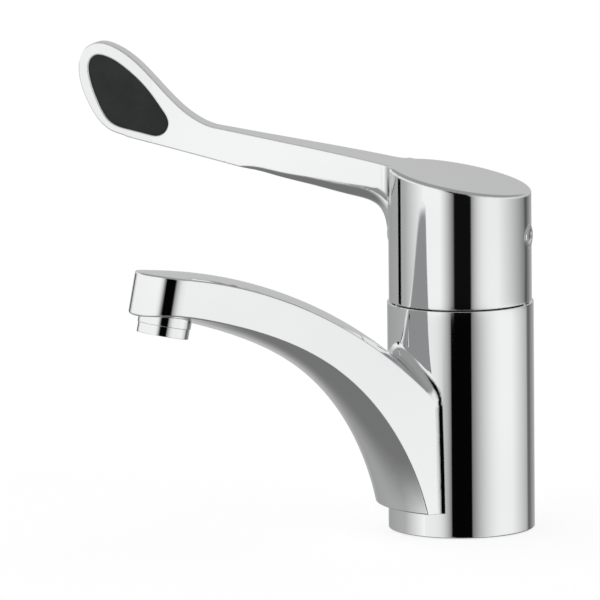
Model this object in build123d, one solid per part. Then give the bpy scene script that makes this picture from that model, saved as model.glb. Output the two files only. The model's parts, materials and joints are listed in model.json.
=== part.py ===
from build123d import *
import math
import os

os.makedirs("parts", exist_ok=True)

# Driving dimensions, in millimetres and degrees
body_radius = 25.0
seam_height = 78.0
seam_gap = 0.25
rim_round = 0.2
base_round = 0.4
cut_over = 1.0
running_fit = 0.05
seat_gap = 0.3

# Spout: outlet axis, plan shape and side edges
spout_reach = 119.0
outlet_drop = 0.7
outlet_tilt = 12.0
nose_radius = 12.6
nose_top_along = 20.3
nose_side_height = 12.8
root_half_width = 16.2
root_width_at = 20.0
top_slope_start = 9.8
top_slope_change = 13.7
top_radius_front = 172.0
top_radius_rear = 172.0
top_slope_end = 52.0
belly_slope_start = 9.7
belly_slope_change = 26.0
belly_radius_front = 162.0
belly_radius_rear = 92.0
belly_slope_end = 76.0
top_crown_tip = 0.2
top_crown_nose = 1.5
top_crown_root = 5.6
belly_crown_nose = 1.3
belly_crown_root = 4.2
spout_foot_height = 8.5
spout_root_depth = 1.0
spout_stations = 7
edge_search_count = 40
junction_round = 3.5
nose_round = 0.6

# Water ways in the casting
base_cavity_radius = 19.0
base_cavity_depth = 10.0
base_groove_inner = 21.2
base_groove_outer = 23.8
base_groove_depth = 2.0
inlet_setback = 5.0
inlet_spread = 8.5
inlet_thread_radius = 5.0
inlet_thread_depth = 14.0
inlet_bore_radius = 3.0
stud_forward = 10.0
stud_thread_radius = 4.0
stud_thread_depth = 14.0
outlet_port_forward = 8.0
outlet_port_radius = 3.5
channel_radius = 4.0
channel_bend_radius = 150.0
channel_slope_end = 38.0
channel_top_along = 13.6
outlet_bore_radius = 7.2

# Aerator, screwed into the collar under the nose
collar_radius = 9.05
collar_drop = 5.2
aerator_radius = 8.8
aerator_length = 8.6
aerator_wall = 1.3
aerator_lip = 0.8
washer_thickness = 1.6
insert_ring_count = 3
insert_rib_count = 12
insert_wall = 0.7
insert_height = 4.6
screen_thickness = 0.8
screen_hole_radius = 0.55
screen_hole_pitch = 1.9

# Cartridge and its seat in the body
seat_depth = 28.0
cartridge_radius = 17.5
cartridge_shoulder = 12.0
upper_barrel_radius = 15.8
upper_barrel_top = 29.0
neck_radius = 13.6
neck_top = 40.0
chamber_radius = 14.2
chamber_top = 25.0
yoke_radius = 12.0
base_plug_radius = 15.1
base_plug_height = 5.6
port_seal_radius = 4.8
port_seal_bore = 3.0
port_seal_height = 1.5
disc_seal_radius = 3.0
disc_seal_bore = 1.7
disc_seal_height = 1.2
disc_port_setback = 2.6
disc_port_spread = 4.6
disc_port_forward = 4.6
disc_port_radius = 1.7
fixed_disc_radius = 13.6
fixed_disc_height = 4.4
moving_disc_radius = 10.2
moving_disc_height = 4.0
mixing_recess_radius = 5.4
mixing_recess_depth = 2.0
carrier_radius = 11.1
carrier_skirt = 2.4
carrier_height = 7.0
carrier_tongue_rise = 1.6
carrier_tongue_half = 5.2
yoke_flange_radius = 13.9
yoke_flange_height = 2.6
yoke_slot_half = 6.7
nut_radius = 19.0
nut_height = 8.0
nut_bore_radius = 16.1
nut_slot_width = 4.0
nut_slot_depth = 2.2
nut_slot_count = 6
housing_ring_section = 0.9
yoke_ring_section = 0.8
limit_ring_height = 3.6
limit_ring_wall = 2.2
limit_notch_width = 5.0

# Lever joint and spindle
pivot_rise = 8.0
lift_angle = 20.0
spindle_side = 8.0
spindle_above = 22.0
spindle_below = 5.0
spindle_arm = 17.0
spindle_arm_radius = 2.0
spindle_ball_radius = 3.0
pin_radius = 1.5
pin_half_length = 11.4

# Lever: hub shell, arm and loop
rest_angle = 48.0
hub_radius = 24.4
hub_wall = 2.0
hub_roof = 4.0
hub_rise = 42.6
hub_top_slope = 10.86
hub_edge_round = 0.25
hub_top_round = 1.2
boss_radius = 8.6
boss_rise = 17.0
arm_bottom_rise = 32.8
arm_bottom_slope = 12.2
arm_under_round = 9.6
throat_reach = 82.0
throat_rise = 56.7
loop_length = 52.2
loop_floor_rise = 52.0
loop_tall = 33.7
arm_root_half = 8.8
arm_taper_power_share = 1.4
arm_taper_reach = 108.0
arm_stations = 9
under_round_root = 6.5
under_round_throat = 0.8
arm_hub_round = 4.0
gusset_tuck_share = 0.04
under_arc_share = 0.3
under_round_show_share = 0.04
loop_half_thickness = 2.7
insert_recess = 0.25
insert_fit = 0.05
plug_rise = 23.0
plug_radius = 3.8
plug_stand = 0.25
plug_depth = 2.4
plug_dish = 0.5
set_screw_radius = 2.5
set_screw_length = 4.2
set_screw_key = 1.25
set_screw_key_depth = 2.4

# Outline of the lever's loop, as shares of its length and its rise
loop_outline_shares = [
    (0.103, 0.167), (0.199, 0.229), (0.286, 0.318), (0.365, 0.425), (0.439, 0.540),
    (0.511, 0.657), (0.586, 0.770), (0.668, 0.871), (0.759, 0.949), (0.860, 0.985),
    (0.954, 0.924), (0.997, 0.780), (0.995, 0.618), (0.966, 0.463), (0.921, 0.317),
    (0.867, 0.193), (0.822, 0.125), (0.770, 0.077), (0.690, 0.040),
]
loop_end_share = 0.584
insert_outline_shares = [
    (0.502, 0.465), (0.546, 0.545), (0.594, 0.621), (0.646, 0.690), (0.700, 0.754),
    (0.758, 0.811), (0.822, 0.850), (0.889, 0.852), (0.929, 0.771), (0.930, 0.665),
    (0.915, 0.562), (0.893, 0.462), (0.866, 0.364), (0.835, 0.270), (0.793, 0.187),
    (0.735, 0.134), (0.668, 0.107), (0.601, 0.085), (0.535, 0.062), (0.467, 0.049),
    (0.409, 0.099), (0.392, 0.199), (0.421, 0.294), (0.461, 0.380),
]

# Directions: the spout points to -Y, the lever at rest is turned to the left of it
spout_turn = -90.0
lever_turn = spout_turn - rest_angle

# Heights worked out from the driving dimensions
outlet_height = seam_height - outlet_drop
seat_height = seam_height - seat_depth
hub_top_height = seam_height + hub_rise
boss_bottom = seam_height + boss_rise
arm_bottom_height = seam_height + arm_bottom_rise
throat_height = seam_height + throat_rise
loop_floor = seam_height + loop_floor_rise
plug_height = seam_height + plug_rise
pivot_height = seam_height + pivot_rise
hub_bottom = seam_height + seam_gap
hub_edge_reach = math.hypot(hub_radius, pivot_rise - seam_gap)
bowl_radius = hub_edge_reach + seat_gap - hub_edge_round / 3
nut_top = seat_height + cartridge_shoulder + nut_height
housing_floor = seat_height + seat_gap
shoulder_height = seat_height + cartridge_shoulder
upper_barrel_height = seat_height + upper_barrel_top
neck_height = seat_height + neck_top
chamber_height = seat_height + chamber_top
fixed_disc_bottom = housing_floor + base_plug_height
moving_disc_bottom = fixed_disc_bottom + fixed_disc_height
moving_disc_top = moving_disc_bottom + moving_disc_height
carrier_bottom = moving_disc_top - carrier_skirt
carrier_top = moving_disc_top + carrier_height
yoke_bottom = carrier_top + seat_gap
disc_travel = 2 * spindle_arm * math.sin(math.radians(lift_angle / 2))
spindle_lean = lift_angle / 2


def group(solids):
    """Separate solids kept as one sub-part."""
    whole = solids[0]
    for solid in solids[1:]:
        whole += solid
    return whole


def turned(shape, angle):
    """The shape turned about the tap's upright axis."""
    return Rot(0, 0, angle) * shape


def rod(radius, bottom, top, x=0.0, y=0.0):
    """An upright round bar between two heights."""
    return Pos(x, y, bottom) * Cylinder(radius, top - bottom, align=(Align.CENTER, Align.CENTER, Align.MIN))


def ring(inner, outer, bottom, top, x=0.0, y=0.0):
    """An upright round tube between two heights."""
    return rod(outer, bottom, top, x, y) - rod(inner, bottom - cut_over, top + cut_over, x, y)


def block(x0, x1, y0, y1, z0, z1):
    """A box between its lowest and highest corners."""
    size = (x1 - x0, y1 - y0, z1 - z0)
    return Pos(x0, y0, z0) * Box(*size, align=(Align.MIN, Align.MIN, Align.MIN))


def bent_edge(start, slopes, radii, length):
    """Point, at a length along two tangent arcs and a straight run that fall away from the nose."""
    x, z = start
    left = length
    for i, radius in enumerate(radii):
        a0 = math.radians(slopes[i])
        a1 = math.radians(slopes[i + 1])
        run = min(left, radius * (a1 - a0))
        a = a0 + run / radius
        x -= radius * (math.sin(a) - math.sin(a0))
        z -= radius * (math.cos(a0) - math.cos(a))
        left -= run
        if left <= 0:
            return x, z
    end = math.radians(slopes[-1])
    return x - left * math.cos(end), z - left * math.sin(end)


def bent_edge_length(start, slopes, radii, direction, target):
    """How long such an edge is until it comes down to a place along x (0) or a height (1)."""
    full = sum(radius * math.radians(slopes[i + 1] - slopes[i]) for i, radius in enumerate(radii))
    low = 0
    high = full + abs(start[direction] - target) / math.cos(math.radians(slopes[-1]))
    for _ in range(edge_search_count):
        middle = (low + high) / 2
        if bent_edge(start, slopes, radii, middle)[direction] > target:
            low = middle
        else:
            high = middle
    return high


def outlet_point(along):
    """A point on the outlet's axis, counted up from the aerator's lower rim."""
    tilt = math.radians(outlet_tilt)
    return spout_reach - along * math.sin(tilt), outlet_height + along * math.cos(tilt)


def outlet_plane(along):
    """The plane square to the outlet's axis, with its normal up the axis."""
    x, z = outlet_point(along)
    tilt = math.radians(outlet_tilt)
    return Plane(origin=(x, 0, z), x_dir=(math.cos(tilt), 0, math.sin(tilt)), z_dir=(-math.sin(tilt), 0, math.cos(tilt)))


def outlet_rod(radius, low, high):
    """A round bar on the outlet's axis."""
    return outlet_plane(low) * Cylinder(radius, high - low, align=(Align.CENTER, Align.CENTER, Align.MIN))


def outlet_ring(inner, outer, low, high):
    """A round tube on the outlet's axis."""
    return outlet_rod(outer, low, high) - outlet_rod(inner, low - cut_over, high + cut_over)


def top_edge():
    """The spout's upper side edge: its start, slopes and radii."""
    slopes = (top_slope_start, top_slope_change, top_slope_end)
    return outlet_point(nose_top_along), slopes, (top_radius_front, top_radius_rear)


def belly_edge():
    """The spout's lower side edge: its start, slopes and radii."""
    slopes = (belly_slope_start, belly_slope_change, belly_slope_end)
    return outlet_point(nose_top_along - nose_side_height), slopes, (belly_radius_front, belly_radius_rear)


def spout_section(share):
    """One cross-section of the spout: upright sides, a crowned top and a crowned belly."""
    ahead = nose_radius + cut_over
    top_length = bent_edge_length(*top_edge(), 0, spout_root_depth)
    belly_length = bent_edge_length(*belly_edge(), 1, spout_foot_height / 2)
    tx, tz = bent_edge(*top_edge(), -ahead + share * (top_length + ahead))
    bx, bz = bent_edge(*belly_edge(), -ahead + share * (belly_length + ahead))
    nose_x = outlet_point(nose_top_along)[0]
    back = (nose_x - (tx + bx) / 2) / (nose_x - root_width_at)
    half = nose_radius + (root_half_width - nose_radius) * back
    crown = top_crown_nose + (top_crown_root - top_crown_nose) * back if share > 0 else top_crown_tip
    belly_crown = belly_crown_nose + (belly_crown_root - belly_crown_nose) * math.sqrt(max(back, 0))
    depth = math.hypot(tx - bx, tz - bz)
    ux = (tx - bx) / depth
    uz = (tz - bz) / depth
    top_left = Vector(tx, -half, tz)
    top_right = Vector(tx, half, tz)
    low_left = Vector(bx, -half, bz)
    low_right = Vector(bx, half, bz)
    top_mid = Vector(tx + ux * crown, 0, tz + uz * crown)
    low_mid = Vector(bx - ux * belly_crown, 0, bz - uz * belly_crown)
    edges = [
        ThreePointArc(low_left, low_mid, low_right),
        Line(low_right, top_right),
        ThreePointArc(top_right, top_mid, top_left),
        Line(top_left, low_left),
    ]
    return make_face(Wire(edges))


def spout_solid():
    """The spout's outside, with its nose rounded about the outlet's axis."""
    sections = [spout_section(i / (spout_stations - 1)) for i in range(spout_stations)]
    spout = loft(sections)
    reach = 4 * nose_radius
    ahead = block(0, reach, -reach, reach, -reach, reach)
    nose = Cylinder(nose_radius, 3 * reach)
    trim = outlet_plane(nose_top_along) * (ahead - nose)
    foot = block(-reach, 2 * spout_reach, -reach, reach, -reach, spout_foot_height)
    return spout - trim - foot


def water_channel():
    """The way from the cartridge seat through the spout to the outlet."""
    x0, z0 = outlet_point(channel_top_along)
    a0 = math.radians(top_slope_start)
    a1 = math.radians(channel_slope_end)
    bend_edge = ((x0, z0), (top_slope_start, channel_slope_end), (channel_bend_radius,))
    length = channel_bend_radius * (a1 - a0)
    xm, zm = bent_edge(*bend_edge, length / 2)
    x1, z1 = bent_edge(*bend_edge, length)
    run = (x1 - outlet_port_forward) / math.cos(a1)
    x2 = x1 - run * math.cos(a1)
    z2 = z1 - run * math.sin(a1)
    bend = ThreePointArc((x0, 0, z0), (xm, 0, zm), (x1, 0, z1))
    straight = Line((x1, 0, z1), (x2, 0, z2))
    path = Wire([bend, straight])
    start = Plane(origin=(x0, 0, z0), z_dir=(-math.cos(a0), 0, -math.sin(a0)))
    tube = sweep(start * Circle(channel_radius), path=path)
    port = rod(outlet_port_radius, z2, seat_height + cut_over, outlet_port_forward, 0)
    return tube + port + Pos(x2, 0, z2) * Sphere(channel_radius)


def on_body_wall(edge):
    """Whether an edge lies on the body's round wall, between the spout's foot and the rim."""
    shares = (0.0, 0.3, 0.5, 0.8, 1.0)
    points = [edge.position_at(share) for share in shares]
    round_wall = all(abs(math.hypot(p.X, p.Y) - body_radius) < running_fit for p in points)
    between = spout_foot_height + running_fit < edge.center().Z < seam_height - running_fit
    return round_wall and between and edge.geom_type != GeomType.LINE


def body_casting():
    """The body and spout in one casting, with its water ways, seat, thread and bowl."""
    spout = spout_solid()
    long_edges = [e for e in spout.edges() if e.length > 2 * nose_radius and e.center().X > body_radius]
    spout = fillet(long_edges, nose_round)
    casting = turned(rod(body_radius, 0, seam_height), 180) + spout
    casting = fillet([e for e in casting.edges() if on_body_wall(e)], junction_round)
    casting = fillet(casting.edges().sort_by(Axis.Z)[0], base_round)
    casting = fillet([e for e in casting.edges() if e.geom_type == GeomType.CIRCLE
                      and abs(e.center().Z - seam_height) < running_fit and e.radius > body_radius - running_fit],
                     rim_round)
    casting += outlet_rod(collar_radius, aerator_length - collar_drop, nose_top_along - nose_side_height + collar_drop)
    casting -= rod(base_cavity_radius, -cut_over, base_cavity_depth)
    casting -= ring(base_groove_inner, base_groove_outer, -cut_over, base_groove_depth)
    casting -= rod(cartridge_radius + seat_gap, seat_height, shoulder_height + cut_over)
    casting -= rod(nut_radius, shoulder_height, nut_top + cut_over)
    above = Pos(0, 0, nut_top) * Cylinder(
        body_radius - rim_round, pivot_rise + seam_height, align=(Align.CENTER, Align.CENTER, Align.MIN))
    casting -= Pos(0, 0, pivot_height) * Sphere(bowl_radius) & above
    for side in (-1, 1):
        casting -= rod(inlet_thread_radius, base_cavity_depth - cut_over, base_cavity_depth + inlet_thread_depth,
                       -inlet_setback, side * inlet_spread)
        casting -= rod(inlet_bore_radius, base_cavity_depth, seat_height + cut_over,
                       -inlet_setback, side * inlet_spread)
    casting -= rod(stud_thread_radius, base_cavity_depth - cut_over, base_cavity_depth + stud_thread_depth,
                   stud_forward, 0)
    casting -= water_channel()
    casting -= outlet_rod(outlet_bore_radius, -cut_over, channel_top_along + channel_radius)
    return turned(casting, spout_turn)


def base_seal():
    """The rubber ring in the groove under the base."""
    inner = base_groove_inner + running_fit
    outer = base_groove_outer - running_fit
    return ring(inner, outer, 0, base_groove_depth - running_fit)


def retaining_nut():
    """The ring nut that holds the cartridge down, with slots for a pin wrench."""
    nut = ring(nut_bore_radius, nut_radius - running_fit, shoulder_height, nut_top)
    for i in range(nut_slot_count):
        slot = block(nut_bore_radius - cut_over, nut_radius - nut_slot_depth, -nut_slot_width / 2,
                     nut_slot_width / 2, nut_top - nut_slot_depth, nut_top + cut_over)
        nut -= turned(slot, i * 360 / nut_slot_count)
    return nut


def cartridge_housing():
    """The cartridge's outer shell: lower barrel, upper barrel and neck."""
    shell = rod(cartridge_radius, housing_floor, shoulder_height)
    shell += rod(upper_barrel_radius, shoulder_height, upper_barrel_height)
    shell += rod(neck_radius, upper_barrel_height, neck_height)
    shell -= rod(base_plug_radius + running_fit, housing_floor - cut_over, fixed_disc_bottom)
    shell -= rod(chamber_radius, fixed_disc_bottom - cut_over, chamber_height)
    shell -= rod(yoke_radius + running_fit, chamber_height - cut_over, neck_height + cut_over)
    groove_height = housing_floor + 3 * housing_ring_section
    shell -= ring(cartridge_radius - housing_ring_section, cartridge_radius + cut_over,
                  groove_height - housing_ring_section, groove_height + housing_ring_section)
    return shell


def housing_o_ring():
    """The O-ring round the housing's lower barrel."""
    groove_height = housing_floor + 3 * housing_ring_section
    radius = (housing_ring_section + seat_gap) / 2
    middle = cartridge_radius + seat_gap - radius
    section = Pos(middle, 0, groove_height) * Rot(90, 0, 0) * Circle(radius - running_fit / 2)
    return revolve(section, Axis.Z)


def port_places():
    """Where the two inlets and the outlet cross the cartridge's seat."""
    return [
        (-inlet_setback, -inlet_spread),
        (-inlet_setback, inlet_spread),
        (outlet_port_forward, 0),
    ]


def disc_port_places():
    """Where the same three ways cross the fixed disc."""
    return [
        (-disc_port_setback, -disc_port_spread),
        (-disc_port_setback, disc_port_spread),
        (disc_port_forward, 0),
    ]


def cartridge_base():
    """The cartridge's floor, which carries the seals and leads the water to the discs."""
    plug = rod(base_plug_radius, housing_floor, fixed_disc_bottom - running_fit)
    middle = housing_floor + base_plug_height / 2
    for (x0, y0), (x1, y1) in zip(port_places(), disc_port_places()):
        plug -= rod(port_seal_radius + running_fit, housing_floor - cut_over, housing_floor + port_seal_height, x0, y0)
        plug -= rod(inlet_bore_radius, housing_floor, middle, x0, y0)
        length = math.hypot(x1 - x0, y1 - y0)
        angle = math.degrees(math.atan2(y1 - y0, x1 - x0))
        lane = block(0, length, -disc_port_radius, disc_port_radius, middle - disc_port_radius, middle)
        plug -= Pos(x0, y0, 0) * Rot(0, 0, angle) * lane
        plug -= rod(disc_port_radius, middle - disc_port_radius, fixed_disc_bottom + cut_over, x1, y1)
        seal_floor = fixed_disc_bottom - disc_seal_height - running_fit
        plug -= rod(disc_seal_radius + running_fit, seal_floor, fixed_disc_bottom + cut_over, x1, y1)
    return turned(plug, spout_turn)


def port_seals():
    """The three rubber seals between the cartridge's base and the body."""
    seals = []
    for x, y in port_places():
        seals.append(ring(port_seal_bore, port_seal_radius, seat_height, housing_floor + port_seal_height, x, y))
    return turned(group(seals), spout_turn)


def disc_seals():
    """The three rubber seals under the fixed disc."""
    seals = []
    floor = fixed_disc_bottom - disc_seal_height - running_fit
    for x, y in disc_port_places():
        seals.append(ring(disc_seal_bore, disc_seal_radius, floor, fixed_disc_bottom, x, y))
    return turned(group(seals), spout_turn)


def fixed_disc():
    """The ceramic disc that stands still, with the three ports."""
    disc = rod(fixed_disc_radius, fixed_disc_bottom, moving_disc_bottom)
    for x, y in disc_port_places():
        disc -= rod(disc_port_radius, fixed_disc_bottom - cut_over, moving_disc_bottom + cut_over, x, y)
    return turned(disc, spout_turn)


def moving_disc():
    """The ceramic disc that slides and turns, with the mixing recess under it."""
    shift = -disc_travel / 2
    disc = rod(moving_disc_radius, moving_disc_bottom, moving_disc_top, shift, 0)
    disc -= rod(mixing_recess_radius, moving_disc_bottom - cut_over, moving_disc_bottom + mixing_recess_depth,
                shift - mixing_recess_depth, 0)
    return turned(disc, lever_turn)


def disc_carrier():
    """The plastic carrier that grips the moving disc and holds the spindle's ball."""
    shift = -disc_travel / 2
    carrier = rod(carrier_radius, carrier_bottom, carrier_top, shift, 0)
    tongue = block(-carrier_tongue_half, carrier_tongue_half, -spindle_side / 2, spindle_side / 2,
                   carrier_top, carrier_top + carrier_tongue_rise)
    carrier += Pos(shift, 0, 0) * tongue
    carrier -= rod(moving_disc_radius + running_fit, carrier_bottom - cut_over, moving_disc_top, shift, 0)
    floor = pivot_height - spindle_arm - spindle_ball_radius - seat_gap
    carrier -= rod(spindle_ball_radius + 2 * running_fit, floor, carrier_top + carrier_tongue_rise + cut_over,
                   shift, 0)
    return turned(carrier, lever_turn)


def guide_yoke():
    """The turning guide in the cartridge's neck, slotted for the spindle."""
    yoke = rod(yoke_flange_radius, yoke_bottom, yoke_bottom + yoke_flange_height)
    yoke += rod(yoke_radius, yoke_bottom, neck_height)
    half_width = spindle_side / 2 + 2 * running_fit
    yoke -= block(-yoke_slot_half, yoke_slot_half, -half_width, half_width, yoke_bottom - cut_over,
                  neck_height + cut_over)
    lane = carrier_tongue_half + disc_travel / 2 + seat_gap
    yoke -= block(-lane, lane, -half_width, half_width, yoke_bottom - cut_over,
                  carrier_top + carrier_tongue_rise + 2 * seat_gap)
    yoke -= Pos(0, 0, pivot_height) * Rot(90, 0, 0) * Cylinder(pin_radius + running_fit / 2, 4 * yoke_radius)
    groove = yoke_bottom + yoke_flange_height + 3 * yoke_ring_section
    yoke -= ring(yoke_radius - yoke_ring_section, yoke_radius + cut_over, groove - yoke_ring_section,
                 groove + yoke_ring_section)
    return turned(yoke, lever_turn)


def yoke_o_ring():
    """The O-ring that seals the yoke in the neck."""
    groove = yoke_bottom + yoke_flange_height + 3 * yoke_ring_section
    radius = yoke_ring_section / 2
    section = Pos(yoke_radius - radius, 0, groove) * Rot(90, 0, 0) * Circle(radius)
    return revolve(section, Axis.Z)


def leaned(shape):
    """A spindle shape, drawn upright about its pivot, put at its lean and place."""
    return Pos(0, 0, pivot_height) * Rot(0, spindle_lean, 0) * shape


def spindle():
    """The square spindle with its pin hole, arm and ball."""
    half = spindle_side / 2
    stem = block(-half, half, -half, half, -spindle_below, spindle_above)
    stem += Pos(0, 0, -spindle_arm) * Cylinder(
        spindle_arm_radius, spindle_arm - spindle_below, align=(Align.CENTER, Align.CENTER, Align.MIN))
    stem += Pos(0, 0, -spindle_arm) * Sphere(spindle_ball_radius)
    stem -= Rot(90, 0, 0) * Cylinder(pin_radius + running_fit, 4 * half)
    return turned(leaned(stem), lever_turn)


def spindle_pin():
    """The steel pin that the spindle tilts on."""
    pin = Pos(0, 0, pivot_height) * Rot(90, 0, 0) * Cylinder(pin_radius, 2 * pin_half_length)
    return turned(pin, lever_turn)


def limit_ring():
    """The notched ring on the neck's shoulder that limits the hot side."""
    inner = neck_radius + running_fit
    band = ring(inner, inner + limit_ring_wall, upper_barrel_height, upper_barrel_height + limit_ring_height)
    notch = block(inner - cut_over, inner + limit_ring_wall + cut_over, -limit_notch_width / 2,
                  limit_notch_width / 2, upper_barrel_height + limit_ring_height / 2,
                  upper_barrel_height + limit_ring_height + cut_over)
    return turned(band - notch, spout_turn)


def aerator_housing():
    """The chrome ring screwed up into the collar."""
    body = outlet_rod(aerator_radius, 0, aerator_length - collar_drop)
    body += outlet_rod(outlet_bore_radius - running_fit, 0, aerator_length)
    body -= outlet_rod(outlet_bore_radius - aerator_wall, aerator_lip, aerator_length + cut_over)
    body -= outlet_rod(outlet_bore_radius - aerator_wall - aerator_lip, -cut_over, aerator_length)
    return turned(body, spout_turn)


def aerator_washer():
    """The rubber washer between the aerator and the end of the outlet bore."""
    inner = outlet_bore_radius - aerator_wall
    washer = outlet_ring(inner, outlet_bore_radius - running_fit, aerator_length, aerator_length + washer_thickness)
    return turned(washer, spout_turn)


def aerator_insert():
    """The plastic jet insert: rings joined by ribs."""
    outer = outlet_bore_radius - aerator_wall - running_fit
    top = aerator_lip + insert_height
    step = outer / (insert_ring_count + 1)
    parts = outlet_ring(outer - insert_wall, outer, aerator_lip, top)
    for i in range(1, insert_ring_count):
        radius = outer - i * step
        parts += outlet_ring(radius - insert_wall, radius, aerator_lip, top)
    parts += outlet_rod(step, aerator_lip, top)
    for i in range(insert_rib_count):
        rib = block(step / 2, outer - insert_wall / 2, -insert_wall / 2, insert_wall / 2, 0, insert_height / 2)
        parts += outlet_plane(aerator_lip + insert_height / 2) * (Rot(0, 0, i * 360 / insert_rib_count) * rib)
    return turned(parts, spout_turn)


def aerator_screen():
    """The perforated steel screen above the jet insert."""
    outer = outlet_bore_radius - aerator_wall - running_fit
    floor = aerator_lip + insert_height
    screen = outlet_rod(outer, floor, floor + screen_thickness)
    count = int(outer / screen_hole_pitch)
    holes = []
    for i in range(-count, count + 1):
        for j in range(-count, count + 1):
            x = i * screen_hole_pitch
            y = j * screen_hole_pitch
            if math.hypot(x, y) < outer - screen_hole_pitch / 2:
                holes.append(Pos(x, y, 0) * Cylinder(screen_hole_radius, 4 * screen_thickness))
    screen -= outlet_plane(floor) * group(holes)
    return turned(screen, spout_turn)


def hub_top(x):
    """Height of the hub's slanted top at a distance along the lever."""
    return hub_top_height + x * math.tan(math.radians(hub_top_slope))


def arm_bottom(x):
    """Height of the arm's straight lower edge."""
    return arm_bottom_height + (x - hub_radius) * math.tan(math.radians(arm_bottom_slope))


def arm_half(x):
    """Half the arm's width, wide at the hub and thin at the loop."""
    left = max(arm_taper_reach - x, 0) / (arm_taper_reach - hub_radius)
    return loop_half_thickness + (arm_root_half - loop_half_thickness) * left ** arm_taper_power_share


def arm_root():
    """Where the arm's outline starts, inside the hub."""
    return hub_radius / 2


def loop_point(share):
    """A point of the loop from its shares of length and rise."""
    return throat_reach + share[0] * loop_length, loop_floor + share[1] * loop_tall


def under_arc_centre():
    """Centre of the round that joins the hub's wall and the arm's lower edge."""
    slope = math.radians(arm_bottom_slope)
    x = hub_radius + running_fit + arm_under_round
    return x, arm_bottom(x) - arm_under_round / math.cos(slope)


def arm_side_face():
    """The arm and loop seen from the side, filled."""
    rise = math.tan(math.radians(hub_top_slope))
    fall = math.tan(math.radians(arm_bottom_slope))
    xc, zc = under_arc_centre()
    slope = math.radians(arm_bottom_slope)
    turn = (math.pi / 2 + slope) / 2
    root = (arm_root(), hub_top(arm_root()))
    shoulder = (hub_radius, hub_top(hub_radius))
    throat = (throat_reach, throat_height)
    climb = (throat_height - shoulder[1]) / (throat_reach - hub_radius)
    loop_end_x = throat_reach + loop_end_share * loop_length
    loop_end = (loop_end_x, arm_bottom(loop_end_x))
    under = (xc - arm_under_round * math.sin(slope), zc + arm_under_round * math.cos(slope))
    middle = (xc - arm_under_round * math.sin(turn), zc + arm_under_round * math.cos(turn))
    wall = (xc - arm_under_round, zc)
    inner = (arm_root(), zc)
    loop = [throat] + [loop_point(share) for share in loop_outline_shares] + [loop_end]
    edges = [
        Line(root, shoulder),
        Spline([shoulder, throat], tangents=[(1, rise), (1, climb)]),
        Spline(loop, tangents=[(1, climb), (-1, -fall)]),
        Line(loop_end, under),
        ThreePointArc(under, middle, wall),
        Line(wall, inner),
        Line(inner, root),
    ]
    return make_face(Wire(edges))


def upright(face):
    """A face drawn as length and height, stood up along the lever."""
    return Plane(origin=(0, 0, 0), x_dir=(1, 0, 0), z_dir=(0, -1, 0)) * face


def arm_plan_face():
    """The arm and loop seen from above, filled."""
    start = arm_root()
    end = throat_reach + loop_length + cut_over
    stations = [start + (arm_taper_reach - start) * i / (arm_stations - 1) for i in range(arm_stations)]
    side = [(x, arm_half(x)) for x in stations]
    mirror = [(x, -y) for x, y in reversed(side)]
    edges = [
        Spline(side),
        Line(side[-1], (end, loop_half_thickness)),
        Line((end, loop_half_thickness), (end, -loop_half_thickness)),
        Line((end, -loop_half_thickness), mirror[0]),
        Spline(mirror),
        Line(mirror[-1], side[0]),
    ]
    return make_face(Wire(edges))


def under_station(share):
    """Point, outward normal and rounding, along the arm's lower edge from the hub out."""
    xc, zc = under_arc_centre()
    slope = math.radians(arm_bottom_slope)
    if share < under_arc_share:
        turn = math.pi / 2 + (slope - math.pi / 2) * share / under_arc_share
        x = xc - arm_under_round * math.sin(turn)
        z = zc + arm_under_round * math.cos(turn)
        normal = (math.sin(turn), -math.cos(turn))
        return x, z, normal, under_round_root
    under_x = xc - arm_under_round * math.sin(slope)
    along = (share - under_arc_share) / (1 - under_arc_share)
    x = under_x + (throat_reach - under_x) * along
    rounding = under_round_root + (under_round_throat - under_round_root) * along
    return x, arm_bottom(x), (math.sin(slope), -math.cos(slope)), rounding


def under_cut(side):
    """What is taken off one lower corner of the arm so that it is round."""
    sections = []
    for i in range(arm_stations):
        x, z, normal, rounding = under_station(i / (arm_stations - 1))
        half = min(arm_half(x), arm_root_half)
        over = arm_hub_round + cut_over
        show = rounding * under_round_show_share
        deep = rounding - show
        bite = rounding * (1 - math.sqrt(0.5)) - show

        def spot(across, out):
            return Vector(x + normal[0] * out, side * across, z + normal[1] * out)

        corner = [spot(half + show, -deep), spot(half + over, -deep), spot(half + over, over),
                  spot(half - deep, over), spot(half - deep, show)]
        arc = ThreePointArc(corner[4], spot(half - bite, -bite), corner[0])
        lines = [Line(corner[k], corner[k + 1]) for k in range(4)]
        sections.append(make_face(Wire(lines + [arc])))
    return loft(sections)


def hub_outside():
    """The hub's outside: a round bar with a slanted top."""
    hub = turned(rod(hub_radius, hub_bottom, hub_top(2 * hub_radius)), 180)
    hub = fillet(hub.edges().sort_by(Axis.Z)[0], hub_edge_round)
    size = 4 * hub_radius
    above = Pos(0, 0, hub_top_height) * Rot(0, -hub_top_slope, 0) * block(-size, size, -size, size, 0, size)
    hub -= above
    return fillet(hub.edges().sort_by(Axis.Z)[-1], hub_top_round)


def root_gussets():
    """What widens the arm in a curve where it meets the hub, filled from above."""
    across = arm_root_half + arm_hub_round
    reach = hub_radius + arm_hub_round * (1 - gusset_tuck_share)
    along = math.sqrt(reach ** 2 - across ** 2)
    gussets = block(arm_root(), along, -across, across, seam_height, 2 * hub_top_height)
    for side in (-1, 1):
        gussets -= Pos(along, side * across, 0) * Cylinder(arm_hub_round, 6 * hub_top_height)
    return gussets


def arm_outside():
    """The arm and loop, cut out from the side and from above, with round lower corners."""
    width = 4 * arm_root_half
    side = extrude(upright(arm_side_face()), amount=width / 2, both=True)
    plan = extrude(Pos(0, 0, seam_height) * arm_plan_face(), amount=hub_top_height)
    arm = (side & plan) + (side & root_gussets())
    return arm - under_cut(1) - under_cut(-1)


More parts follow.
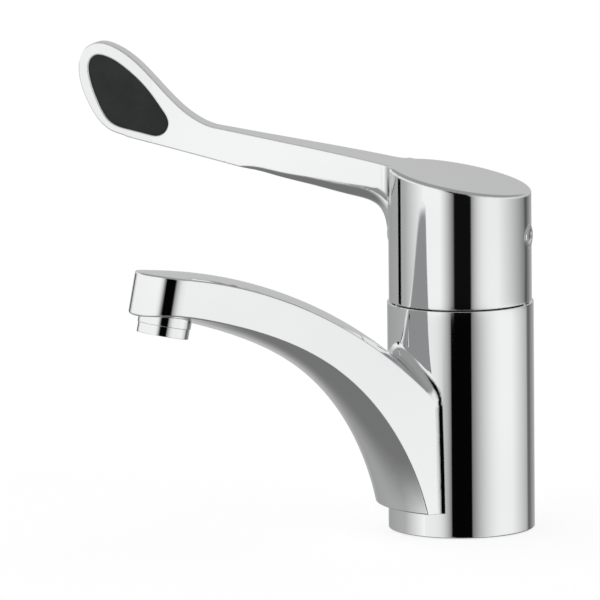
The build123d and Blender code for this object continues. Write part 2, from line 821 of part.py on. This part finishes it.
def insert_face(grow):
    """The grip insert's outline seen from the side, grown by a clearance."""
    points = [loop_point(share) for share in insert_outline_shares]
    grown = []
    for i, (x, z) in enumerate(points):
        after = points[(i + 1) % len(points)]
        dx = after[0] - points[i - 1][0]
        dz = after[1] - points[i - 1][1]
        size = math.hypot(dx, dz)
        grown.append((x - grow * dz / size, z + grow * dx / size))
    return make_face(Wire([Spline(grown, periodic=True)]))


def plug_bore(radius, near, far):
    """A round bar across the hub at the height of its two plugs."""
    return Pos((near + far) / 2, 0, plug_height) * Rot(0, 90, 0) * Cylinder(radius, abs(far - near))


def hub_room(extra):
    """The space inside the hub, up to its slanted ceiling."""
    room = rod(hub_radius - hub_wall, hub_bottom - cut_over, hub_top(2 * hub_radius))
    size = 4 * hub_radius
    ceiling = hub_top_height - hub_roof + extra
    above = Pos(0, 0, ceiling) * Rot(0, -hub_top_slope, 0) * block(-size, size, -size, size, 0, size)
    return room - above


def lever():
    """The hub shell, arm and loop in one casting, with its socket and bores."""
    shell = hub_outside() + arm_outside()
    shell -= hub_room(0)
    half = spindle_side / 2 + running_fit
    boss = leaned(Cylinder(boss_radius, 3 * spindle_above))
    boss &= hub_room(hub_roof / 2) & rod(hub_radius, boss_bottom, hub_top(2 * hub_radius))
    shell += boss
    shell -= leaned(block(-half, half, -half, half, 0, spindle_above + seat_gap))
    shell -= plug_bore(set_screw_radius, -hub_radius + hub_wall + cut_over, hub_radius - hub_wall - cut_over)
    shell -= plug_bore(plug_radius + running_fit, hub_radius - plug_depth - cut_over, hub_radius + arm_root_half)
    shell -= plug_bore(plug_radius + running_fit, plug_depth + cut_over - hub_radius, -2 * hub_radius)
    width = 4 * loop_half_thickness
    shell -= extrude(upright(insert_face(insert_fit)), amount=width, both=True)
    return turned(shell, lever_turn)


def grip_insert():
    """The soft insert that fills the loop from side to side."""
    pad = extrude(upright(insert_face(0)), amount=loop_half_thickness - insert_recess, both=True)
    return turned(pad, lever_turn)


def hub_plug(turn):
    """A round push-in plug: a shallow dish outside, closed inside."""
    near = hub_radius + plug_stand
    plug = plug_bore(plug_radius, near, near - plug_depth)
    dish_radius = (plug_radius ** 2 / 2 + plug_dish ** 2) / (2 * plug_dish)
    dish = Pos(near + dish_radius - plug_dish, 0, plug_height) * Sphere(dish_radius)
    return turned(plug - dish, lever_turn + turn)


def lever_set_screws():
    """The two socket screws that clamp the lever on the spindle."""
    stem_x = (plug_height - pivot_height) * math.tan(math.radians(spindle_lean))
    face = (spindle_side / 2 + set_screw_radius * math.sin(math.radians(spindle_lean))) / math.cos(
        math.radians(spindle_lean)) + running_fit
    screws = []
    for side in (-1, 1):
        near = stem_x + side * face
        far = near + side * set_screw_length
        screw = plug_bore(set_screw_radius - running_fit, near, far)
        key = plug_bore(set_screw_key, far - side * set_screw_key_depth, far + side * cut_over)
        screws.append(screw - key)
    return turned(group(screws), lever_turn)


def write(name, shape):
    """Writes one sub-part to its own file."""
    shape.label = name
    export_step(shape, os.path.join("parts", name + ".step"))
    print(name, round(shape.volume, 1))


def build_all():
    """Makes every sub-part."""
    write("body_casting", body_casting())
    write("base_seal", base_seal())
    write("retaining_nut", retaining_nut())
    write("cartridge_housing", cartridge_housing())
    write("housing_o_ring", housing_o_ring())
    write("cartridge_base", cartridge_base())
    write("port_seals", port_seals())
    write("disc_seals", disc_seals())
    write("fixed_disc", fixed_disc())
    write("moving_disc", moving_disc())
    write("disc_carrier", disc_carrier())
    write("guide_yoke", guide_yoke())
    write("yoke_o_ring", yoke_o_ring())
    write("spindle", spindle())
    write("spindle_pin", spindle_pin())
    write("limit_ring", limit_ring())
    write("lever", lever())
    write("grip_insert", grip_insert())
    write("rear_plug", hub_plug(180))
    write("indicator_plug", hub_plug(0))
    write("lever_set_screws", lever_set_screws())
    write("aerator_housing", aerator_housing())
    write("aerator_washer", aerator_washer())
    write("aerator_insert", aerator_insert())
    write("aerator_screen", aerator_screen())


build_all()
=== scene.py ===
import json
import math
from collections import namedtuple
import bpy
from mathutils import Matrix, Vector


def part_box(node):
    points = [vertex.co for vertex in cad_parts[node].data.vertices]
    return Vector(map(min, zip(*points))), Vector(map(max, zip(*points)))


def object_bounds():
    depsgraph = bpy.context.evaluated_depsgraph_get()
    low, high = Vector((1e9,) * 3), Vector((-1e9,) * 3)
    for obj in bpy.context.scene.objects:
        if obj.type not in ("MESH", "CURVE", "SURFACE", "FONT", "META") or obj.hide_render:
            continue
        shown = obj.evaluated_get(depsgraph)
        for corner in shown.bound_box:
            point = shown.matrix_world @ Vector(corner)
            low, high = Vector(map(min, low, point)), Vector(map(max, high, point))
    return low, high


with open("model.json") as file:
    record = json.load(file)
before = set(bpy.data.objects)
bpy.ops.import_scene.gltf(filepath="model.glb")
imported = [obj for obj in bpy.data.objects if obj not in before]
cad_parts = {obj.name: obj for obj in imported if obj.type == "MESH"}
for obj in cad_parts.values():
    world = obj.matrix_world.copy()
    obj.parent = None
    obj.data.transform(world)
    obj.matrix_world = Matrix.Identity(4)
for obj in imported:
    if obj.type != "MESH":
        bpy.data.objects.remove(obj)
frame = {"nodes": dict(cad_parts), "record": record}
cad_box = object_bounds()

# Camera, in metres and degrees, as fitted to the photograph
image_side = 600.0
camera_azimuth = 58.0
camera_elevation = 9.25
camera_roll = -0.5
camera_distance = 4.0
focal_pixels = 11701.6
origin_pixel = (461.8, 525.5)
sensor_width = 36.0
clip_near = 0.1
clip_far = 100.0

# Studio: walls of light by the angle in degrees from the line to the camera: dark gap, edge, rise to full, rest
Wall = namedtuple("Wall", "dark dark_until edge edge_at full full_at power rest")
rise_steps = 16
studio_azimuth = 56.8
right_studio = Wall(dark=0.005, dark_until=17.3, edge=0.27, edge_at=18.3, full=0.94, full_at=55, power=3,
                    rest=[(64, 0.94), (126, 0.24), (130, 0.10), (134, 0.10), (148, 0.30), (180, 0.57)])
left_studio = Wall(dark=0.005, dark_until=9, edge=0.17, edge_at=10.5, full=1.0, full_at=33, power=1.2,
                   rest=[(60, 1.0), (100, 0.45), (155, 0.36), (180, 0.57)])
right_high = Wall(dark=0.0015, dark_until=14.5, edge=0.40, edge_at=20, full=0.94, full_at=60, power=2,
                  rest=[(100, 0.80), (130, 0.60), (180, 0.55)])
left_high = Wall(dark=0.0015, dark_until=12, edge=0.30, edge_at=17.5, full=0.98, full_at=40, power=3,
                 rest=[(130, 0.96), (150, 0.72), (165, 0.56), (180, 0.55)])

# Angles of height, in degrees, over which the low walls give way to the high ones, the sky and the ground
high_start = -4.0
high_full = 2.0
sky_start = 17.0
sky_full = 32.0
sky_brightness = 0.34
ground_start = -24.0
ground_full = -48.0
ground_brightness = 0.19
studio_gain = 1.0

# Low curved card round the tap, mirrored in the body and the spout: its place, and its walls of light
body_radius = 0.025
card_radius = 1.0
card_low = -0.22
card_seam = 0.078
card_fall = 9.3
card_step = 4.0
right_card = Wall(dark=0.0015, dark_until=16.8, edge=0.20, edge_at=17.8, full=0.98, full_at=72, power=2,
                  rest=[(88, 0.97), (126, 0.48), (131, 0.16), (136, 0.14)])
left_card = Wall(dark=0.0015, dark_until=14.3, edge=0.20, edge_at=15.3, full=0.90, full_at=52, power=3,
                 rest=[(60, 0.92)])

# Dark flag beside the tap that draws the thin line on the hub
flag_angle = -108.8
flag_distance = 0.20
flag_width = 0.028
flag_low = 0.048
flag_high = 0.094
flag_tones = [(0.3, 0.0), (0.7, 0.004)]
flag_tone_scale = 40.0

# Softness of edges in the normals, in metres
casting_edge = 0.0003
lever_edge = 0.0008
edge_samples = 6

# Chrome: tint, waviness and wiping marks, with scales per metre and reliefs in metres
chrome_tints = [(0.35, (0.86, 0.865, 0.87)), (0.65, (0.90, 0.905, 0.91))]
chrome_tint_scale = 14.0
wipe_scale = 160.0
wipe_roughness = (0.02, 0.05)
wave_scale = 45.0
wave_strength = 0.25
wave_relief = 0.00004

# Rubber, plastic, turned metal and ceramic: tones from dark to light, scales per metre, reliefs in metres
seal_tones = [(0.3, (0.012, 0.012, 0.012)), (0.75, (0.03, 0.03, 0.03))]
insert_tones = [(0.3, (0.018, 0.022, 0.020)), (0.75, (0.032, 0.038, 0.036))]
seal_grain_scale = 2200.0
insert_grain_scale = 1500.0
rubber_tone_scale = 90.0
rubber_roughness = 0.62
rubber_specular = 0.35
rubber_relief = 0.00008
grey_tones = [(0.3, (0.24, 0.25, 0.26)), (0.7, (0.33, 0.34, 0.35))]
white_tones = [(0.3, (0.70, 0.70, 0.67)), (0.7, (0.80, 0.80, 0.78))]
red_tones = [(0.3, (0.45, 0.03, 0.02)), (0.7, (0.58, 0.06, 0.05))]
grey_roughness = 0.45
white_roughness = 0.40
red_roughness = 0.42
plastic_tone_scale = 60.0
plastic_grain_scale = 1800.0
plastic_relief = 0.00003
brass_tones = [(0.3, (0.55, 0.38, 0.16)), (0.7, (0.75, 0.57, 0.28))]
steel_tones = [(0.3, (0.52, 0.52, 0.53)), (0.7, (0.68, 0.68, 0.69))]
brass_roughness = 0.28
steel_roughness = 0.22
brass_ring_scale = 900.0
steel_ring_scale = 700.0
metal_tone_scale = 120.0
metal_ring_distortion = 0.4
metal_relief = 0.00002
ceramic_tones = [(0.3, (0.70, 0.68, 0.62)), (0.45, (0.88, 0.87, 0.84)), (1.0, (0.93, 0.92, 0.90))]
ceramic_speck_scale = 900.0
ceramic_roughness = 0.18
ceramic_relief = 0.00002

# Indicator plug: a width in metres, and the shares of it at which the colours start
mark_width = 0.01
mark_pale = (0.75, 0.76, 0.78)
mark_red = (0.55, 0.02, 0.02)
mark_blue = (0.02, 0.06, 0.45)
mark_tones = [(0.0, mark_pale), (0.32, mark_red), (0.48, mark_pale), (0.52, mark_blue), (0.68, mark_pale)]
mark_shades = [(0.2, (0.9, 0.9, 0.9)), (0.8, (1.0, 1.0, 1.0))]
mark_grain_scale = 400.0
mark_roughness = 0.25
mark_relief = 0.00003

# Floor
floor_size = 40.0
floor_gap = 0.0002
floor_tones = [(0.3, (0.94, 0.94, 0.94)), (0.7, (0.96, 0.96, 0.96))]
floor_tone_scale = 8.0
floor_roughness = 0.9
floor_specular = 0.1
floor_glow = 0.62


def camera_axes():
    """Unit vectors from the object to the camera, to its right and up, roll included."""
    az = math.radians(camera_azimuth)
    el = math.radians(camera_elevation)
    roll = math.radians(camera_roll)
    out = Vector((math.sin(az) * math.cos(el), -math.cos(az) * math.cos(el), math.sin(el)))
    right = Vector((math.cos(az), math.sin(az), 0.0))
    up = out.cross(right)
    rolled_right = math.cos(roll) * right + math.sin(roll) * up
    rolled_up = -math.sin(roll) * right + math.cos(roll) * up
    return out, rolled_right, rolled_up


def add_camera():
    """The photograph's camera."""
    out, right, up = camera_axes()
    metres_per_pixel = camera_distance / focal_pixels
    across = (origin_pixel[0] - image_side / 2) * metres_per_pixel
    down = (origin_pixel[1] - image_side / 2) * metres_per_pixel
    data = bpy.data.cameras.new("photo_camera")
    data.sensor_width = sensor_width
    data.lens = focal_pixels * sensor_width / image_side
    data.clip_start = clip_near
    data.clip_end = clip_far
    camera = bpy.data.objects.new("photo_camera", data)
    bpy.context.scene.collection.objects.link(camera)
    eye = camera_distance * out - across * right + down * up
    turn = Matrix((right, up, out)).transposed()
    camera.matrix_world = Matrix.Translation(eye) @ turn.to_4x4()
    bpy.context.scene.camera = camera


def node_of(tree, kind, **values):
    """A shader node with some of its values set."""
    node = tree.nodes.new(kind)
    for name, value in values.items():
        setattr(node, name, value)
    return node


def math_node(tree, operation, first, second=None):
    """A math node fed by sockets or numbers."""
    node = node_of(tree, "ShaderNodeMath", operation=operation)
    for socket, value in zip(node.inputs, (first, second)):
        if value is None:
            continue
        if isinstance(value, (int, float)):
            socket.default_value = value
        else:
            tree.links.new(value, socket)
    return node.outputs[0]


def ramp(tree, factor, stops, interpolation="LINEAR"):
    """A colour ramp from (place, colour) stops."""
    node = node_of(tree, "ShaderNodeValToRGB")
    node.color_ramp.interpolation = interpolation
    elements = node.color_ramp.elements
    while len(elements) > 1:
        elements.remove(elements[-1])
    for i, (place, colour) in enumerate(stops):
        element = elements[0] if i == 0 else elements.new(place)
        element.position = place
        value = colour if isinstance(colour, tuple) else (colour, colour, colour)
        element.color = (value[0], value[1], value[2], 1.0)
    tree.links.new(factor, node.inputs[0])
    return node.outputs[0]


def mix(tree, factor, first, second, blend="MIX"):
    """A mix node for colours."""
    node = node_of(tree, "ShaderNodeMix", data_type="RGBA", blend_type=blend)
    for socket, value in ((node.inputs[0], factor), (node.inputs[6], first), (node.inputs[7], second)):
        if isinstance(value, (int, float)):
            socket.default_value = value
        elif isinstance(value, tuple):
            socket.default_value = (value[0], value[1], value[2], 1.0)
        else:
            tree.links.new(value, socket)
    return node.outputs[2]


def rise(tree, height, start, full):
    """How far a direction's height has come from one angle to another, from 0 to 1."""
    node = node_of(tree, "ShaderNodeMapRange", interpolation_type="SMOOTHSTEP")
    tree.links.new(height, node.inputs["Value"])
    node.inputs["From Min"].default_value = math.sin(math.radians(start))
    node.inputs["From Max"].default_value = math.sin(math.radians(full))
    return node.outputs[0]


def wall_stops(wall):
    """A wall's brightness by angle: gap, edge, a rise that slows down by the wall's power, and the rest."""
    stops = [(0.0, wall.dark), (wall.dark_until, wall.dark)]
    for i in range(rise_steps + 1):
        left = 1.0 - i / rise_steps
        angle = wall.full_at - left * (wall.full_at - wall.edge_at)
        stops.append((angle, wall.full - left ** wall.power * (wall.full - wall.edge)))
    return stops + wall.rest


def wall_light(tree, x, y, left, right):
    """Brightness from two lists of stops, by the level angle between a direction and the line to the camera."""
    az = math.radians(studio_azimuth)
    toward = math_node(tree, "ADD", math_node(tree, "MULTIPLY", x, math.sin(az)),
                       math_node(tree, "MULTIPLY", y, -math.cos(az)))
    side = math_node(tree, "ADD", math_node(tree, "MULTIPLY", x, math.cos(az)),
                     math_node(tree, "MULTIPLY", y, math.sin(az)))
    angle = math_node(tree, "ARCTAN2", side, toward)
    share = math_node(tree, "DIVIDE", math_node(tree, "ABSOLUTE", angle), math.pi)
    on_right = math_node(tree, "GREATER_THAN", side, 0.0)
    left_wall = ramp(tree, share, [(a / 180.0, v) for a, v in left])
    right_wall = ramp(tree, share, [(a / 180.0, v) for a, v in right])
    return mix(tree, on_right, left_wall, right_wall)


def add_studio():
    """A soft studio all round: pale panels with a dark gap where the camera stands."""
    world = bpy.data.worlds.new("studio")
    bpy.context.scene.world = world
    world.use_nodes = True
    tree = world.node_tree
    tree.nodes.clear()
    place = node_of(tree, "ShaderNodeTexCoord")
    split = node_of(tree, "ShaderNodeSeparateXYZ")
    tree.links.new(place.outputs["Generated"], split.inputs[0])
    x, y, z = split.outputs
    low = wall_light(tree, x, y, wall_stops(left_studio), wall_stops(right_studio))
    high = wall_light(tree, x, y, wall_stops(left_high), wall_stops(right_high))
    light = mix(tree, rise(tree, z, high_start, high_full), low, high)
    light = mix(tree, rise(tree, z, sky_start, sky_full), light, (sky_brightness,) * 3)
    light = mix(tree, rise(tree, z, ground_start, ground_full), light, (ground_brightness,) * 3)
    back = node_of(tree, "ShaderNodeBackground")
    tree.links.new(light, back.inputs["Color"])
    back.inputs["Strength"].default_value = studio_gain
    out = node_of(tree, "ShaderNodeOutputWorld")
    tree.links.new(back.outputs[0], out.inputs["Surface"])


def new_material(name):
    """An empty material with a Principled shader, its tree and the object's own coordinates."""
    material = bpy.data.materials.new(name)
    material.use_nodes = True
    tree = material.node_tree
    shader = tree.nodes["Principled BSDF"]
    place = node_of(tree, "ShaderNodeTexCoord")
    return material, tree, shader, place.outputs["Object"]


def noise(tree, place, scale, detail=2.0, roughness=0.5):
    """Noise in the object's own coordinates, with a scale per metre."""
    node = node_of(tree, "ShaderNodeTexNoise")
    node.inputs["Scale"].default_value = scale
    node.inputs["Detail"].default_value = detail
    node.inputs["Roughness"].default_value = roughness
    tree.links.new(place, node.inputs["Vector"])
    return node.outputs["Fac"]


def bump(tree, shader, height, strength, distance, normal=None):
    """Relief from a height, on a given normal where there is one."""
    node = node_of(tree, "ShaderNodeBump")
    node.inputs["Strength"].default_value = strength
    node.inputs["Distance"].default_value = distance
    tree.links.new(height, node.inputs["Height"])
    if normal is not None:
        tree.links.new(normal, node.inputs["Normal"])
    tree.links.new(node.outputs["Normal"], shader.inputs["Normal"])


def soft_edges(tree, radius):
    """Normals rounded over an edge by a small radius."""
    node = node_of(tree, "ShaderNodeBevel", samples=edge_samples)
    node.inputs["Radius"].default_value = radius
    return node.outputs[0]


def polished_chrome(name, edge):
    """Plated and polished: near mirror, with a faint waviness, fine wiping marks and soft edges."""
    material, tree, shader, place = new_material(name)
    shader.inputs["Metallic"].default_value = 1.0
    tint = ramp(tree, noise(tree, place, chrome_tint_scale), chrome_tints)
    tree.links.new(tint, shader.inputs["Base Color"])
    marks = noise(tree, place, wipe_scale, detail=4.0, roughness=0.6)
    rough = node_of(tree, "ShaderNodeMapRange")
    rough.inputs["To Min"].default_value = wipe_roughness[0]
    rough.inputs["To Max"].default_value = wipe_roughness[1]
    tree.links.new(marks, rough.inputs["Value"])
    tree.links.new(rough.outputs[0], shader.inputs["Roughness"])
    waves = noise(tree, place, wave_scale, detail=1.0, roughness=0.4)
    bump(tree, shader, waves, wave_strength, wave_relief, soft_edges(tree, edge))
    return material


def worn_rubber(name, tones, grain_scale):
    """Matte rubber with a fine grain and a slightly paler bloom."""
    material, tree, shader, place = new_material(name)
    tone = ramp(tree, noise(tree, place, rubber_tone_scale, detail=4.0, roughness=0.6), tones)
    tree.links.new(tone, shader.inputs["Base Color"])
    shader.inputs["Roughness"].default_value = rubber_roughness
    shader.inputs["Specular IOR Level"].default_value = rubber_specular
    grain = noise(tree, place, grain_scale, detail=3.0, roughness=0.6)
    bump(tree, shader, grain, strength=0.5, distance=rubber_relief)
    return material


def moulded_plastic(name, tones, roughness):
    """Moulded plastic with a faint mottle and a fine skin."""
    material, tree, shader, place = new_material(name)
    tone = ramp(tree, noise(tree, place, plastic_tone_scale, detail=3.0), tones)
    tree.links.new(tone, shader.inputs["Base Color"])
    shader.inputs["Roughness"].default_value = roughness
    bump(tree, shader, noise(tree, place, plastic_grain_scale), strength=0.3, distance=plastic_relief)
    return material


def turned_metal(name, tones, roughness, ring_scale):
    """Turned metal: fine rings round the upright axis, and a little tarnish."""
    material, tree, shader, place = new_material(name)
    shader.inputs["Metallic"].default_value = 1.0
    tone = ramp(tree, noise(tree, place, metal_tone_scale, detail=4.0, roughness=0.6), tones)
    tree.links.new(tone, shader.inputs["Base Color"])
    shader.inputs["Roughness"].default_value = roughness
    wave = node_of(tree, "ShaderNodeTexWave", wave_type="RINGS", rings_direction="Z")
    wave.inputs["Scale"].default_value = ring_scale
    wave.inputs["Distortion"].default_value = metal_ring_distortion
    tree.links.new(place, wave.inputs["Vector"])
    bump(tree, shader, wave.outputs["Fac"], strength=0.3, distance=metal_relief)
    return material


def fired_ceramic():
    """Lapped ceramic: pale and dense, with faint specks."""
    material, tree, shader, place = new_material("lapped_ceramic")
    specks = noise(tree, place, ceramic_speck_scale, detail=5.0, roughness=0.7)
    tree.links.new(ramp(tree, specks, ceramic_tones), shader.inputs["Base Color"])
    shader.inputs["Roughness"].default_value = ceramic_roughness
    bump(tree, shader, specks, strength=0.1, distance=ceramic_relief)
    return material


def indicator_face():
    """A pale plug with a plain red half and a plain blue half, split by a narrow pale line."""
    material, tree, shader, place = new_material("indicator_face")
    low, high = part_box("indicator_plug")
    middle = (Vector(low) + Vector(high)) / 2
    across = Vector((middle.y, -middle.x, 0.0)).normalized()
    dot = node_of(tree, "ShaderNodeVectorMath", operation="DOT_PRODUCT")
    tree.links.new(place, dot.inputs[0])
    dot.inputs[1].default_value = across
    share = math_node(tree, "MULTIPLY_ADD", dot.outputs["Value"], 1.0 / mark_width)
    share.node.inputs[2].default_value = 0.5 - across.dot(middle) / mark_width
    tone = ramp(tree, share, mark_tones, "CONSTANT")
    grain = noise(tree, place, mark_grain_scale, detail=3.0)
    shade = ramp(tree, grain, mark_shades)
    tree.links.new(mix(tree, 1.0, tone, shade, blend="MULTIPLY"), shader.inputs["Base Color"])
    shader.inputs["Roughness"].default_value = mark_roughness
    bump(tree, shader, grain, strength=0.1, distance=mark_relief)
    return material


def pale_floor():
    """A plain pale floor with the faintest grain."""
    material, tree, shader, place = new_material("pale_floor")
    tone = ramp(tree, noise(tree, place, floor_tone_scale), floor_tones)
    tree.links.new(tone, shader.inputs["Base Color"])
    shader.inputs["Roughness"].default_value = floor_roughness
    shader.inputs["Specular IOR Level"].default_value = floor_specular
    shader.inputs["Emission Color"].default_value = (1.0, 1.0, 1.0, 1.0)
    shader.inputs["Emission Strength"].default_value = floor_glow
    return material


def add_floor():
    """The floor the tap stands on. It lies under the base and isn't mirrored in the chrome."""
    bpy.ops.mesh.primitive_plane_add(size=floor_size, location=(0.0, 0.0, cad_box[0][2] - floor_gap))
    floor = bpy.context.object
    floor.name = "floor"
    floor.data.materials.append(pale_floor())
    floor.visible_glossy = False


def level_point(angle, distance, height):
    """A point at an angle from the line to the camera, seen from above, and a height."""
    turn = math.radians(studio_azimuth + angle)
    return Vector((math.sin(turn) * distance, -math.cos(turn) * distance, height))


def add_panel(name, corners, faces, material):
    """A panel of the studio that only the chrome sees."""
    mesh = bpy.data.meshes.new(name)
    mesh.from_pydata(corners, [], faces)
    panel = bpy.data.objects.new(name, mesh)
    bpy.context.scene.collection.objects.link(panel)
    mesh.materials.append(material)
    panel.visible_camera = False
    panel.visible_diffuse = False
    panel.visible_shadow = False


def add_flag():
    """A narrow dark flag beside the tap, seen only in the chrome of the hub."""
    middle = level_point(flag_angle, flag_distance, 0.0)
    across = flag_width / 2 * level_point(flag_angle + 90.0, 1.0, 0.0)
    corners = [middle + sign * across + Vector((0.0, 0.0, z))
               for sign, z in ((-1, flag_low), (1, flag_low), (1, flag_high), (-1, flag_high))]
    material, tree, shader, place = new_material("black_flag")
    tone = ramp(tree, noise(tree, place, flag_tone_scale), flag_tones)
    tree.links.new(tone, shader.inputs["Base Color"])
    shader.inputs["Roughness"].default_value = 1.0
    shader.inputs["Specular IOR Level"].default_value = 0.0
    add_panel("flag", corners, [(0, 1, 2, 3)], material)


def card_angle(angle):
    """Where on the card the body's wall mirrors a direction from."""
    return angle - math.degrees(math.asin(body_radius / card_radius * math.sin(math.radians(angle / 2))))


def card_top(angle):
    """How high the card stands there, so that the wall mirrors it up to the seam."""
    half = math.radians(angle / 2)
    reach = math.sqrt(card_radius ** 2 - (body_radius * math.sin(half)) ** 2) - body_radius * math.cos(half)
    return card_seam - reach * math.tan(math.radians(card_fall))


def add_card():
    """The low curved card: it glows by the angle from the line to the camera."""
    first = -left_card.rest[-1][0]
    last = right_card.rest[-1][0]
    count = int((last - first) / card_step)
    corners = []
    for i in range(count + 1):
        angle = first + (last - first) * i / count
        for height in (card_low, card_top(angle)):
            corners.append(level_point(card_angle(angle), card_radius, height))
    faces = [(2 * i, 2 * i + 2, 2 * i + 3, 2 * i + 1) for i in range(count)]
    material, tree, shader, place = new_material("pale_card")
    split = node_of(tree, "ShaderNodeSeparateXYZ")
    tree.links.new(place, split.inputs[0])
    walls = [[(card_angle(a), v) for a, v in wall_stops(wall)] for wall in (left_card, right_card)]
    glow = wall_light(tree, split.outputs["X"], split.outputs["Y"], *walls)
    tree.links.new(glow, shader.inputs["Emission Color"])
    shader.inputs["Emission Strength"].default_value = studio_gain
    shader.inputs["Base Color"].default_value = (0.0, 0.0, 0.0, 1.0)
    shader.inputs["Specular IOR Level"].default_value = 0.0
    add_panel("card", corners, faces, material)


def paint_nodes():
    """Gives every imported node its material."""
    materials = {
        "chrome": polished_chrome("polished_chrome", casting_edge),
        "brass": turned_metal("turned_brass", brass_tones, brass_roughness, brass_ring_scale),
        "steel": turned_metal("bright_steel", steel_tones, steel_roughness, steel_ring_scale),
        "black_rubber": worn_rubber("seal_rubber", seal_tones, seal_grain_scale),
        "dark_rubber": worn_rubber("insert_rubber", insert_tones, insert_grain_scale),
        "grey_plastic": moulded_plastic("grey_plastic", grey_tones, grey_roughness),
        "white_plastic": moulded_plastic("white_plastic", white_tones, white_roughness),
        "red_plastic": moulded_plastic("red_plastic", red_tones, red_roughness),
        "indicator_plastic": indicator_face(),
        "ceramic": fired_ceramic(),
    }
    slots = {entry["node"]: entry["material_slot"] for entry in frame["record"]["subparts"]}
    materials["lever_chrome"] = polished_chrome("lever_chrome", lever_edge)
    slots["lever"] = "lever_chrome"
    for name, node in frame["nodes"].items():
        for slot in node.material_slots:
            slot.material = materials[slots[name]]


bpy.context.scene.view_settings.view_transform = "Standard"
add_camera()
add_studio()
paint_nodes()
add_floor()
add_flag()
add_card()
